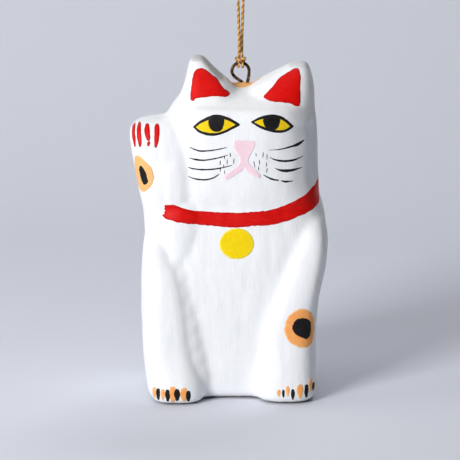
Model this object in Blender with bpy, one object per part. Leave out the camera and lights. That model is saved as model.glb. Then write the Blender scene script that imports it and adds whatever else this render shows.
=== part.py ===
"""A hanging beckoning cat ornament, carved from one block of light wood and painted.

The cat faces -Y, its raised paw is at -X, and it stands on z = 0. A small screw eye is turned into
the valley between its ears. A thin cord is hitched through the eye, and an end knot joins the
cord's two ends.
"""

import math

import bmesh
import bpy
from mathutils import Vector

MM = 0.001
GAP = 0.3 * MM  # what every two neighbouring pieces keep between them

# ---- the carving: each form is a stack of slices in millimetres -----------------------------------
# Each slice is (height, left, right, front, back) of one level of the form.
BELLY_AND_BACK = (
    (-2.0, -17.8, 19.6, -9.8, 14.4),
    (1.5, -18.8, 20.6, -11.2, 15.8),
    (9.0, -19.8, 20.3, -11.8, 16.7),
    (19.0, -20.4, 20.6, -12.6, 16.9),
    (27.0, -20.5, 21.7, -13.5, 16.2),
    (34.0, -20.2, 23.1, -14.2, 15.2),
    (39.0, -19.9, 23.2, -14.2, 14.2),
    (44.5, -19.6, 22.4, -13.9, 13.2),
    (48.5, -17.0, 21.0, -13.2, 12.2),
)
LEG_UNDER_RAISED_ARM = (
    (-2.0, -18.0, -6.2, -16.0, 0.0),
    (1.2, -18.9, -5.4, -16.9, 2.0),
    (4.5, -19.5, -5.6, -16.9, 4.0),
    (9.5, -20.1, -6.8, -15.4, 6.0),
    (16.0, -20.5, -7.8, -15.0, 6.0),
    (24.0, -20.7, -9.0, -15.1, 6.0),
    (31.0, -20.5, -10.8, -14.8, 5.0),
    (37.0, -20.1, -13.6, -13.8, 4.0),
    (41.5, -19.0, -15.0, -11.6, 2.0),
)
STANDING_LEG = (
    (-2.0, 6.8, 19.8, -14.6, 0.0),
    (1.2, 6.2, 20.4, -15.9, 2.0),
    (4.5, 6.2, 20.6, -15.8, 4.0),
    (12.0, 6.6, 20.5, -15.0, 6.0),
    (19.0, 7.8, 20.7, -15.0, 6.0),
    (26.0, 10.2, 21.6, -15.1, 6.0),
    (33.0, 12.8, 23.0, -14.8, 6.0),
    (39.0, 15.4, 23.1, -13.8, 5.0),
    (43.5, 17.2, 22.2, -11.2, 4.0),
)
RAISED_ARM = (
    (40.0, -19.9, -8.0, -11.0, 6.0),
    (45.0, -20.1, -8.0, -12.8, 7.0),
    (50.0, -21.1, -8.0, -14.2, 6.0),
    (55.0, -21.9, -8.0, -14.4, 4.5),
    (60.0, -22.8, -8.0, -14.2, 3.5),
    (63.6, -23.2, -9.0, -13.2, 2.8),
    (65.6, -21.7, -10.0, -11.8, 1.4),
    (66.4, -18.4, -11.0, -10.0, 0.0),
)
HEAD = (
    (43.0, -10.0, 18.8, -11.4, 10.6),
    (46.5, -15.6, 20.8, -13.6, 12.0),
    (51.0, -16.8, 21.0, -14.7, 12.4),
    (58.0, -16.8, 20.8, -14.9, 12.2),
    (64.0, -15.4, 20.5, -14.7, 11.8),
    (68.6, -13.4, 20.1, -14.2, 11.2),
    (70.8, -11.6, 19.7, -11.8, 9.6),
    (72.3, -9.6, 19.1, -7.4, 6.4),
    (73.1, -8.0, 18.0, -3.6, 3.0),
)
EAR_BY_RAISED_PAW = (
    (66.0, -13.4, 2.4, -13.4, 6.0),
    (70.0, -12.1, 1.8, -12.0, 5.8),
    (74.0, -10.5, 0.6, -10.0, 4.4),
    (77.5, -9.7, -3.2, -7.8, 2.6),
    (80.6, -8.9, -5.9, -5.6, 0.6),
)
FAR_EAR = (
    (66.0, 5.0, 20.2, -13.4, 6.0),
    (70.0, 5.4, 20.0, -12.0, 5.8),
    (73.6, 5.2, 19.8, -10.2, 4.4),
    (76.3, 9.8, 19.2, -8.4, 3.0),
    (79.1, 15.1, 18.4, -5.8, 0.8),
)
FORMS = (
    BELLY_AND_BACK,
    LEG_UNDER_RAISED_ARM,
    STANDING_LEG,
    RAISED_ARM,
    HEAD,
    EAR_BY_RAISED_PAW,
    FAR_EAR,
)
SQUARENESS = 3.2  # superellipse exponent of a slice: 2 is an ellipse, and more is squarer
SLICE_POINTS = 48
LEVELS_PER_SLICE = 4
BLEND_VOXEL = 0.6 * MM  # grain at which the forms are fused into one block
BLEND_PASSES = 12
CARVING_SHARE = 0.085  # share of the fused block's triangles that is kept

# ---- the screw eye ---------------------------------------------------------------------------------
EYE_X = 2.7 * MM
EYE_Z = 76.5 * MM  # centre of the ring's round upper half
RING_RADIUS = 2.0 * MM  # to the middle of the wire
WIRE_RADIUS = 0.375 * MM
SHANK_OFFSET = 0.3 * MM  # the shank stands this far to the side of the ring's centre
SHANK_TOP = EYE_Z - 2.7 * MM
SHANK_LENGTH = 10.0 * MM
THREAD_RADIUS = 0.6 * MM
CORE_RADIUS = 0.42 * MM
THREAD_PITCH = 0.8 * MM
POINT_LENGTH = 1.6 * MM
SEAT_HEIGHT = 73.3 * MM
SEAT_RADIUS = 2.0 * MM

# ---- the cord --------------------------------------------------------------------------------------
CORD_DIAMETER = 0.7 * MM
HITCH_HALF_LENGTH = 1.15 * MM
HITCH_RADIUS = 1.3 * MM
HITCH_HOLE_MIDDLE = 0.62 * MM
HITCH_HOLE_MOUTH = 1.0 * MM
NECK_RISE = 1.5 * MM  # centre of the hitch's neck above the ring's top wire
NECK_RADII = (1.2 * MM, 0.95 * MM, 0.9 * MM)
PIVOT_RISE = 2.85 * MM  # the cord bends here, above the ring's top wire
# Half of the loop, from the hitch to the end knot: millimetres aside of the eye, in depth, and up
# from the cord's bending point. The other half mirrors it.
STRAND_ROUTE = (
    (0.32, 0.40, 0.25),
    (0.33, 0.38, 3.0),
    (0.45, 0.20, 7.0),
    (0.62, 0.00, 12.0),
    (1.05, 0.00, 18.0),
    (1.70, 0.00, 23.5),
    (2.00, 0.00, 27.0),
    (1.60, 0.00, 29.6),
    (0.85, 0.00, 31.2),
    (0.52, 0.00, 32.6),
)
STRAND_STEP = 2.5 * CORD_DIAMETER
KNOT_RADII = (1.25 * MM, 1.05 * MM, 1.5 * MM)
TAIL_LENGTH = 5.0 * MM
TAIL_SPREAD = 1.5 * MM


def clear_scene():
    for old in list(bpy.data.objects):
        bpy.data.objects.remove(old)


def finish_of(name, colour, roughness, metallic):
    material = bpy.data.materials.new(name)
    material.use_nodes = True
    shader = material.node_tree.nodes["Principled BSDF"]
    shader.inputs["Base Color"].default_value = (*colour, 1.0)
    shader.inputs["Roughness"].default_value = roughness
    shader.inputs["Metallic"].default_value = metallic
    return material


def add_object(name, data, material=None, helper=False):
    made = bpy.data.objects.new(name, data)
    bpy.context.scene.collection.objects.link(made)
    if material:
        data.materials.append(material)
    if helper:
        made.hide_render = True
        made.display_type = "WIRE"
    return made


def add_mesh(name, shape, material=None, helper=False):
    """Turns a bmesh into an object, with all of its faces pointing out."""
    bmesh.ops.recalc_face_normals(shape, faces=shape.faces)
    data = bpy.data.meshes.new(name)
    shape.to_mesh(data)
    shape.free()
    data.shade_smooth()
    return add_object(name, data, material, helper)


def cut(target, tool, operation="DIFFERENCE"):
    boolean = target.modifiers.new(f"{operation.lower()} {tool.name}", "BOOLEAN")
    boolean.object = tool
    boolean.operation = operation
    boolean.solver = "EXACT"


def bridge(shape, rings):
    """Joins equal rings of vertices into a closed skin with a flat cap at each end."""
    for lower, upper in zip(rings, rings[1:]):
        for i, low in enumerate(lower):
            j = (i + 1) % len(lower)
            shape.faces.new((low, lower[j], upper[j], upper[i]))
    shape.faces.new(reversed(rings[0]))
    shape.faces.new(rings[-1])


def between(a, b, c, d, t):
    """Catmull-Rom value at t between b and c."""
    slope_b, slope_c = (c - a) / 2, (d - b) / 2
    rise = c - b
    return b + slope_b * t + (3 * rise - 2 * slope_b - slope_c) * t**2 + (
        slope_b + slope_c - 2 * rise
    ) * t**3


def smooth_through(rows, steps):
    """Rows of numbers with steps - 1 further rows between every two, on a smooth curve."""
    rows = [Vector(row) for row in rows]
    padded = [2 * rows[0] - rows[1], *rows, 2 * rows[-1] - rows[-2]]
    filled = [
        between(*padded[i : i + 4], step / steps)
        for i in range(len(rows) - 1)
        for step in range(steps)
    ]
    return [*filled, rows[-1]]


def slice_ring(shape, height, left, right, front, back):
    """One level of a form: a superellipse between its four sides."""
    ring = []
    for i in range(SLICE_POINTS):
        angle = math.tau * i / SLICE_POINTS
        c, s = math.cos(angle), math.sin(angle)
        x = math.copysign(abs(c) ** (2 / SQUARENESS), c)
        y = math.copysign(abs(s) ** (2 / SQUARENESS), s)
        place = (
            (left + right + (right - left) * x) / 2,
            (front + back + (back - front) * y) / 2,
            height,
        )
        ring.append(shape.verts.new(Vector(place) * MM))
    return ring


def tube(shape, points, radii, sides):
    """A round tube through the points, which lie in one plane that faces Y."""
    rings = []
    for i, point in enumerate(points):
        ahead = points[min(i + 1, len(points) - 1)] - points[max(i - 1, 0)]
        across = ahead.cross(Vector((0, 1, 0))).normalized()
        turn = [math.tau * k / sides for k in range(sides)]
        rings.append(
            [
                shape.verts.new(
                    point + radii[i] * (math.cos(a) * across + math.sin(a) * Vector((0, 1, 0)))
                )
                for a in turn
            ]
        )
    bridge(shape, rings)


def turned(shape, profile, centre, axis, sides):
    """A solid turned about an axis: profile holds (distance along it, radius)."""
    axis = Vector(axis)
    side = axis.orthogonal().normalized()
    other = axis.cross(side)
    rings = [
        [
            shape.verts.new(
                centre
                + axis * along
                + radius * (math.cos(math.tau * k / sides) * side + math.sin(math.tau * k / sides) * other)
            )
            for k in range(sides)
        ]
        for along, radius in profile
    ]
    return rings


def ellipsoid(shape, centre, radii, segments=20, rings=12):
    made = bmesh.ops.create_uvsphere(shape, u_segments=segments, v_segments=rings, radius=1.0)
    bmesh.ops.scale(shape, vec=radii, verts=made["verts"])
    bmesh.ops.translate(shape, vec=centre, verts=made["verts"])


def carved_body(material):
    """The whole cat: its forms fused into one block, flat below, with a pilot hole for the eye."""
    shape = bmesh.new()
    for form in FORMS:
        levels = smooth_through(form, LEVELS_PER_SLICE)
        bridge(shape, [slice_ring(shape, *level) for level in levels])
    body = add_mesh("carved_body", shape, material)
    fuse = body.modifiers.new("fuse the forms", "REMESH")
    fuse.mode = "VOXEL"
    fuse.voxel_size = BLEND_VOXEL
    ease = body.modifiers.new("ease the joins", "SMOOTH")
    ease.factor = 0.5
    ease.iterations = BLEND_PASSES
    thin = body.modifiers.new("plain facets", "DECIMATE")
    thin.ratio = CARVING_SHARE
    cut(body, foot_cutter())
    cut(body, pilot_hole())
    return body


def foot_cutter():
    """Everything below the surface that the cat stands on."""
    shape = bmesh.new()
    bmesh.ops.create_cube(shape, size=1.0)
    bmesh.ops.scale(shape, vec=(80 * MM, 80 * MM, 10 * MM), verts=shape.verts)
    bmesh.ops.translate(shape, vec=(0, 0, -5 * MM), verts=shape.verts)
    return add_mesh("foot_cutter", shape, helper=True)


def pilot_hole():
    """A hole for the shank, with a shallow seat at its mouth for the bottom of the ring."""
    shape = bmesh.new()
    radius = THREAD_RADIUS + GAP
    bottom = SHANK_TOP - SHANK_LENGTH - GAP
    seat = SEAT_HEIGHT - bottom
    profile = ((0, radius), (seat, radius), (seat, SEAT_RADIUS), (seat + 10 * MM, SEAT_RADIUS))
    centre = Vector((EYE_X + SHANK_OFFSET, 0, bottom))
    bridge(shape, turned(shape, profile, centre, (0, 0, 1), 20))
    return add_mesh("pilot_hole", shape, helper=True)


def ring_path():
    """The wire's middle line: out of the shank, round the eye, and back beside the shank."""
    base = Vector((SHANK_OFFSET, 0, -2.7 * MM))
    leaving = [base, Vector((0.2, 0, -2.45)) * MM, Vector((-0.5, 0, -2.0)) * MM, Vector((-1.4, 0, -1.3)) * MM]
    half_turn = [
        Vector((-math.cos(a), 0, math.sin(a))) * RING_RADIUS
        for a in (math.radians(-15 + 195 * k / 20) for k in range(21))
    ]
    closing = [Vector((1.97, 0, -0.7)) * MM, Vector((1.85, 0, -1.3)) * MM, Vector((1.65, 0, -1.75)) * MM]
    centre = Vector((EYE_X, 0, EYE_Z))
    return [centre + point for point in (*leaving, *half_turn, *closing)]


def thread_profile():
    """The shank from its top down: a ridge at each pitch, and then the point."""
    profile = [(0.0, CORE_RADIUS), (THREAD_PITCH, CORE_RADIUS)]
    along = THREAD_PITCH
    while along + THREAD_PITCH < SHANK_LENGTH - POINT_LENGTH:
        profile += [(along + THREAD_PITCH / 2, THREAD_RADIUS), (along + THREAD_PITCH, CORE_RADIUS)]
        along += THREAD_PITCH
    return [*profile, (SHANK_LENGTH, 0.08 * MM)]


def screw_eye(material):
    shape = bmesh.new()
    path = ring_path()
    tube(shape, path, [WIRE_RADIUS] * len(path), 12)
    eye = add_mesh("screw_eye", shape, material)
    shape = bmesh.new()
    top = Vector((EYE_X + SHANK_OFFSET, 0, SHANK_TOP + 0.1 * MM))
    bridge(shape, turned(shape, thread_profile(), top, (0, 0, -1), 12))
    cut(eye, add_mesh("shank", shape, helper=True), "UNION")
    return eye


def hitch_hole():
    """Room for the ring's wire, wider at its mouths, so that the hitch can turn on the curved wire."""
    shape = bmesh.new()
    centre = Vector((EYE_X, 0, EYE_Z + RING_RADIUS))
    flare = HITCH_HOLE_MOUTH - HITCH_HOLE_MIDDLE
    profile = [
        (t * HITCH_HALF_LENGTH, HITCH_HOLE_MIDDLE + flare * t * t)
        for t in (-1.3 + 2.6 * k / 12 for k in range(13))
    ]
    bridge(shape, turned(shape, profile, centre, (1, 0, 0), 20))
    return add_mesh("hitch_hole", shape, helper=True)


def cord_hitch(material):
    """The hitch round the ring's top wire: a short barrel with the neck that both strands leave."""
    centre = Vector((EYE_X, 0, EYE_Z + RING_RADIUS))
    shape = bmesh.new()
    profile = [
        (t * HITCH_HALF_LENGTH, HITCH_RADIUS - 0.1 * MM * t * t)
        for t in (-1 + 2 * k / 6 for k in range(7))
    ]
    bridge(shape, turned(shape, profile, centre, (1, 0, 0), 20))
    hitch = add_mesh("cord_hitch", shape, material)
    neck = bmesh.new()
    ellipsoid(neck, centre + Vector((0, 0, NECK_RISE)), NECK_RADII)
    cut(hitch, add_mesh("hitch_neck", neck, helper=True), "UNION")
    cut(hitch, hitch_hole())
    return hitch


def strand_points(side):
    """Points every STRAND_STEP along one strand's smooth route, from the hitch to the end knot."""
    pivot = Vector((EYE_X, 0, EYE_Z + RING_RADIUS + PIVOT_RISE))
    fine = smooth_through([(side * x, side * y, z) for x, y, z in STRAND_ROUTE], 20)
    points, travelled = [fine[0]], 0.0
    for before, here in zip(fine, fine[1:]):
        travelled += (here - before).length * MM
        if travelled >= STRAND_STEP:
            points.append(here)
            travelled = 0.0
    points[-1] = fine[-1]
    return [pivot + point * MM for point in points]


def cord_strand(name, side, material):
    curve = bpy.data.curves.new(name, "CURVE")
    curve.dimensions = "3D"
    curve.bevel_depth = CORD_DIAMETER / 2
    curve.bevel_resolution = 2
    curve.use_fill_caps = True
    points = strand_points(side)
    spline = curve.splines.new("POLY")
    spline.points.add(len(points) - 1)
    for target, point in zip(spline.points, points):
        target.co = (*point, 1.0)
    return add_object(name, curve, material)


def end_knot(material):
    """The knot that joins the cord's two ends, with their short tails."""
    strand_end = strand_points(1)[-1]
    bottom = strand_end.z + GAP
    centre = Vector((EYE_X, 0, bottom + KNOT_RADII[2] - 0.1 * MM))
    shape = bmesh.new()
    ellipsoid(shape, centre, KNOT_RADII)
    knot = add_mesh("end_knot", shape, material)
    for name, side in (("tail_by_raised_paw", -1), ("far_tail", 1)):
        start = centre + Vector((side * 0.45 * MM, 0, 0.6 * MM))
        stop = centre + Vector((side * TAIL_SPREAD, 0, TAIL_LENGTH))
        points = [start.lerp(stop, k / 4) for k in range(5)]
        shape = bmesh.new()
        tube(shape, points, [CORD_DIAMETER / 2] * len(points), 10)
        cut(knot, add_mesh(name, shape, helper=True), "UNION")
    return knot


def main():
    clear_scene()
    white_paint = finish_of("white_paint", (0.84, 0.85, 0.87), 0.55, 0.0)
    aged_brass = finish_of("aged_brass", (0.24, 0.17, 0.10), 0.35, 1.0)
    gold_cord = finish_of("gold_cord", (0.72, 0.45, 0.13), 0.45, 0.6)
    carved_body(white_paint)
    screw_eye(aged_brass)
    cord_hitch(gold_cord)
    cord_strand("strand_by_raised_paw", -1, gold_cord)
    cord_strand("far_strand", 1, gold_cord)
    end_knot(gold_cord)


main()
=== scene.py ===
"""The looks of a hanging beckoning cat ornament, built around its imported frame.

The cat is one carved block of light wood under white acrylic paint, with its face, collar, bell and
calico spots brushed on in thin films of colour. A bronzed screw eye stands in the valley between the
ears, and a twisted gold cord is hitched through it and knotted at its ends.

Lengths in the classes are millimetres in the frame's own axes: the cat faces -Y, its raised paw is at
-X and it stands on z = 0.
"""

import sys

import logging
import math
import random
from collections.abc import Iterable, Sequence
from dataclasses import dataclass
from enum import Enum
from typing import Any, ClassVar

import bmesh
import bpy
import numpy as np
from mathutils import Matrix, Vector, kdtree, noise
from mathutils.geometry import delaunay_2d_cdt

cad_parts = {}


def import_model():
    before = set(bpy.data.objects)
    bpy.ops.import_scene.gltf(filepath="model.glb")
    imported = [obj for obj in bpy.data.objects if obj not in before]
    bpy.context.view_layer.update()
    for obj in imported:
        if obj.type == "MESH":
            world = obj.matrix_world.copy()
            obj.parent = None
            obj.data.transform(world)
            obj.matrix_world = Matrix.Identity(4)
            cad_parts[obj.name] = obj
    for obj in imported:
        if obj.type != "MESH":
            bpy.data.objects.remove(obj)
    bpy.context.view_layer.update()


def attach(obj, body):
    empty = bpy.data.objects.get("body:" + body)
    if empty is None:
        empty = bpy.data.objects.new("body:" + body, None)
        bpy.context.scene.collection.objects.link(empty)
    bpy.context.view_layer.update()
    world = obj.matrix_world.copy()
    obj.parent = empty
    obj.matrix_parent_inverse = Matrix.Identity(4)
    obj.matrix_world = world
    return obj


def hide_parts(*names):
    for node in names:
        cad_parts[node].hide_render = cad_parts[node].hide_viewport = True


LOG = logging.getLogger("cat_ornament")
MM = 0.001

Colour = tuple[float, float, float]
Point2 = tuple[float, float]
Point3 = tuple[float, float, float]


class Body(Enum):
    """The frame's moving bodies."""

    CAT = "cat"
    HITCH = "hitch"
    LOOP = "loop"


class Slot(Enum):
    """The record's material slots."""

    WHITE_PAINT = "white_paint_on_wood"
    BRASS = "aged_brass"
    GOLD_CORD = "gold_cord"


def tint(code: str) -> Colour:
    """Linear colour of a six-digit screen colour.

    Args:
        code: Two hexadecimal digits each for red, green and blue.

    Returns:
        The three channels as a shader uses them.
    """
    channels = [int(code[i : i + 2], 16) / 255 for i in (0, 2, 4)]
    return tuple(c / 12.92 if c <= 0.04045 else ((c + 0.055) / 1.055) ** 2.4 for c in channels)


def between(a: Any, b: Any, c: Any, d: Any, t: float) -> Any:
    """Catmull-Rom value at t between b and c, for numbers or vectors."""
    slope_b, slope_c, rise = (c - a) / 2, (d - b) / 2, c - b
    return b + slope_b * t + (3 * rise - 2 * slope_b - slope_c) * t**2 + (slope_b + slope_c - 2 * rise) * t**3


def smooth_through(rows: Iterable[Sequence[float]], steps: int, closed: bool = False) -> np.ndarray:
    """A smooth curve through rows of numbers.

    Args:
        rows: The rows that the curve passes through.
        steps: How many rows each span becomes.
        closed: Whether the curve returns to its first row.

    Returns:
        The curve's rows, without a repeat of the first one at the end of a closed curve.
    """
    given = np.array([tuple(row) for row in rows], float)
    if closed:
        padded = np.vstack((given[-1:], given, given[:2]))
    else:
        padded = np.vstack((2 * given[0] - given[1], given, 2 * given[-1] - given[-2]))
    spans = len(padded) - 3
    filled = [between(*padded[i : i + 4], step / steps) for i in range(spans) for step in range(steps)]
    return np.array(filled if closed else [*filled, given[-1]])


def ramp(value: np.ndarray, none: float, full: float) -> np.ndarray:
    """A straight run from 0 at one value to 1 at another, which may be the smaller."""
    return np.clip((value - none) / (full - none), 0, 1)


def eased(value: np.ndarray, low: float, high: float) -> np.ndarray:
    """A smooth step from 0 at low to 1 at high."""
    t = ramp(value, low, high)
    return t * t * (3 - 2 * t)


def linked(name: str, data: bpy.types.ID) -> bpy.types.Object:
    """A new object of that name and data, shown in the scene."""
    made = bpy.data.objects.new(name, data)
    bpy.context.scene.collection.objects.link(made)
    return made


def meshed(shape: bmesh.types.BMesh, name: str) -> bpy.types.Mesh:
    """A mesh of a finished shape, which is freed."""
    mesh = bpy.data.meshes.new(name)
    shape.to_mesh(mesh)
    shape.free()
    return mesh


def spot_rows(mesh: bpy.types.Mesh, layer: str) -> np.ndarray:
    """One row of three numbers for each of a mesh's points: its place or its normal."""
    rows = np.empty(len(mesh.vertices) * 3, np.float32)
    mesh.vertices.foreach_get(layer, rows)
    return rows.reshape(-1, 3).astype(float)


def note(mesh: bpy.types.Mesh, name: str, amount: np.ndarray) -> None:
    """Writes a number on each of a mesh's points."""
    layer = mesh.attributes.new(name, "FLOAT", "POINT")
    layer.data.foreach_set("value", amount.astype(np.float32))


def evaluated_copy(source: bpy.types.Object, name: str) -> bpy.types.Object:
    """Replaces an object by a plain mesh of what its modifiers make.

    Args:
        source: The object, which is removed.
        name: The plain object's name.

    Returns:
        The plain object.
    """
    graph = bpy.context.evaluated_depsgraph_get()
    mesh = bpy.data.meshes.new_from_object(source.evaluated_get(graph), depsgraph=graph)
    bpy.data.objects.remove(source)
    mesh.name = name
    return linked(name, mesh)


def placed(
    piece: bpy.types.Object, body: Body, replaces: Sequence[str] = ()
) -> bpy.types.Object:
    """Rides a finished piece on its body and tells what it stands for.

    Args:
        piece: The piece.
        body: The body that carries it.
        replaces: The frame's nodes that it stands for.

    Returns:
        The same piece.
    """
    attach(piece, body.value)
    if replaces:
        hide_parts(*replaces)
    LOG.info("%s: %d faces on %s", piece.name, len(piece.data.polygons), body.value)
    return piece


# ---- node nets ---------------------------------------------------------------------------------------


@dataclass(frozen=True)
class Value:
    """A socket whose number varies over a shape; arithmetic on it adds Math nodes."""

    net: "Net"
    socket: bpy.types.NodeSocket

    def _math(self, operation: str, first: Any, second: Any) -> "Value":
        """A Math node on two values."""
        return self.net.node("ShaderNodeMath", {"operation": operation}, {0: first, 1: second})

    def __add__(self, other: "Value | float") -> "Value":
        """Sum."""
        return self._math("ADD", self, other)

    __radd__ = __add__

    def __sub__(self, other: "Value | float") -> "Value":
        """Difference."""
        return self._math("SUBTRACT", self, other)

    def __rsub__(self, other: float) -> "Value":
        """Difference from a plain number."""
        return self._math("SUBTRACT", other, self)

    def __mul__(self, other: "Value | float") -> "Value":
        """Product."""
        return self._math("MULTIPLY", self, other)

    def __truediv__(self, other: "Value | float") -> "Value":
        """Quotient."""
        return self._math("DIVIDE", self, other)

    def sine(self) -> "Value":
        """Sine of an angle in radians."""
        return self._math("SINE", self, 0.0)

    def cosine(self) -> "Value":
        """Cosine of an angle in radians."""
        return self._math("COSINE", self, 0.0)

    def rise(self, low: float, high: float) -> "Value":
        """A smooth step from 0 at low to 1 at high."""
        return self.net.node(
            "ShaderNodeMapRange",
            {"interpolation_type": "SMOOTHSTEP"},
            {"Value": self, "From Min": low, "From Max": high},
        )


class Net:
    """A node tree under construction."""

    def __init__(self, tree: bpy.types.NodeTree) -> None:
        """Starts on an existing tree."""
        self.tree = tree

    def node(
        self,
        kind: str,
        settings: dict[str, Any] | None = None,
        inputs: dict[str | int, Any] | None = None,
        output: str | int = 0,
    ) -> Value:
        """Adds one node.

        Args:
            kind: The node's type.
            settings: Its own properties, such as a Math node's operation.
            inputs: Values or links for its sockets, by name or number.
            output: The socket to return.

        Returns:
            The chosen output.
        """
        made = self.tree.nodes.new(kind)
        for name, setting in (settings or {}).items():
            setattr(made, name, setting)
        for key, value in (inputs or {}).items():
            self.feed(made.inputs[key], value)
        return Value(self, made.outputs[output])

    def feed(self, socket: bpy.types.NodeSocket, value: Any) -> None:
        """Links a value to a socket, or sets the socket's own number or colour."""
        if isinstance(value, Value):
            self.tree.links.new(value.socket, socket)
        elif socket.type == "RGBA":
            socket.default_value = (*value, 1.0)
        else:
            socket.default_value = value

    def vector(self, operation: str, first: Any, second: Any) -> Value:
        """A Vector Math node on two vectors."""
        return self.node("ShaderNodeVectorMath", {"operation": operation}, {0: first, 1: second})

    def scaled(self, direction: Any, amount: Any) -> Value:
        """A vector times a number."""
        return self.node(
            "ShaderNodeVectorMath", {"operation": "SCALE"}, {"Vector": direction, "Scale": amount}
        )


class Coat(Net):
    """One material's shader net."""

    def __init__(self, name: str) -> None:
        """Starts a material with a plain Principled shader."""
        self.material = bpy.data.materials.new(name)
        self.material.use_nodes = True
        super().__init__(self.material.node_tree)
        self.shader = self.tree.nodes["Principled BSDF"]
        self.place = self.node("ShaderNodeTexCoord", output="Object")

    def grain(self, size: Point3, detail: float = 2.0, roughness: float = 0.5) -> Value:
        """Noise from 0 to 1 whose features have a given size.

        Args:
            size: The features' millimetres along x, y and z.
            detail: Octaves of finer noise.
            roughness: Share of the finer octaves.

        Returns:
            The noise.
        """
        stretched = self.vector("MULTIPLY", self.place, tuple(1 / (s * MM) for s in size))
        return self.node(
            "ShaderNodeTexNoise",
            inputs={"Vector": stretched, "Scale": 1.0, "Detail": detail, "Roughness": roughness},
        )

    def attribute(self, name: str) -> Value:
        """A number stored on the piece's own points."""
        return self.node("ShaderNodeAttribute", {"attribute_name": name}, output="Fac")

    def mixed(self, first: Any, second: Any, share: Any) -> Value:
        """A colour between two, at a share of the second."""
        return self.node(
            "ShaderNodeMix", {"data_type": "RGBA"}, {0: share, 6: first, 7: second}, output=2
        )

    def bumped(self, height: Value, depth: float, strength: float = 1.0) -> Value:
        """A normal for a height from 0 to 1 that stands for a depth in millimetres."""
        return self.node(
            "ShaderNodeBump", inputs={"Height": height, "Distance": depth * MM, "Strength": strength}
        )

    def finish(self, **inputs: Any) -> bpy.types.Material:
        """Feeds the shader's sockets, named with underscores for spaces.

        Args:
            **inputs: Values or links for the Principled shader.

        Returns:
            The finished material.
        """
        for name, value in inputs.items():
            self.feed(self.shader.inputs[name.replace("_", " ").title().replace("Ior", "IOR")], value)
        return self.material


class Recipe(Net):
    """A geometry-node tree with named inputs, run on one object and turned into a plain mesh."""

    KINDS: ClassVar[dict[type, str]] = {
        float: "NodeSocketFloat",
        int: "NodeSocketInt",
        bpy.types.Material: "NodeSocketMaterial",
        bpy.types.Object: "NodeSocketObject",
    }

    def __init__(self, name: str, inputs: dict[str, type]) -> None:
        """Starts a tree.

        Args:
            name: The tree's name.
            inputs: Each named input and the type of its value.
        """
        super().__init__(bpy.data.node_groups.new(name, "GeometryNodeTree"))
        face = self.tree.interface
        face.new_socket("Geometry", in_out="OUTPUT", socket_type="NodeSocketGeometry")
        face.new_socket("Geometry", in_out="INPUT", socket_type="NodeSocketGeometry")
        for label, kind in inputs.items():
            face.new_socket(label, in_out="INPUT", socket_type=self.KINDS[kind])
        self.given = self.tree.nodes.new("NodeGroupInput")
        self.result = self.tree.nodes.new("NodeGroupOutput")

    def input(self, label: str) -> Value:
        """One of the tree's named inputs."""
        return Value(self, self.given.outputs[label])

    def stored(self, geometry: Value, name: str, value: Any) -> Value:
        """Geometry with a number written on its points."""
        return self.node(
            "GeometryNodeStoreNamedAttribute",
            {"data_type": "FLOAT", "domain": "POINT"},
            {"Geometry": geometry, "Name": name, "Value": value},
        )

    def named(self, name: str, kind: str) -> Value:
        """A number or vector that was stored on the points."""
        return self.node("GeometryNodeInputNamedAttribute", {"data_type": kind}, {"Name": name})

    def swept(self, path: Value, radius: Any, sides: Any) -> Value:
        """A closed rod along a curve."""
        profile = self.node(
            "GeometryNodeCurvePrimitiveCircle", {"mode": "RADIUS"}, {"Radius": radius, "Resolution": sides}
        )
        return self.node(
            "GeometryNodeCurveToMesh", inputs={"Curve": path, "Profile Curve": profile, "Fill Caps": True}
        )

    def closed_with(self, geometry: Value) -> None:
        """Ends the tree: real geometry, shaded smooth, in the finish that was given."""
        real = self.node("GeometryNodeRealizeInstances", inputs={"Geometry": geometry})
        smooth = self.node("GeometryNodeSetShadeSmooth", inputs={"Geometry": real})
        dressed = self.node(
            "GeometryNodeSetMaterial", inputs={"Geometry": smooth, "Material": self.input("Finish")}
        )
        self.feed(self.result.inputs["Geometry"], dressed)

    def run(self, base: bpy.types.Object, name: str, values: dict[str, Any]) -> bpy.types.Object:
        """Runs the tree on an object.

        Args:
            base: The object that the tree starts from, which is removed.
            name: The name of the result.
            values: A value for each named input.

        Returns:
            The result as a plain mesh object.
        """
        modifier = base.modifiers.new(self.tree.name, "NODES")
        modifier.node_group = self.tree
        for item in self.tree.interface.items_tree:
            if item.in_out == "INPUT" and item.name in values:
                modifier[item.identifier] = values[item.name]
        return evaluated_copy(base, name)


# ---- finishes ----------------------------------------------------------------------------------------


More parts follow.
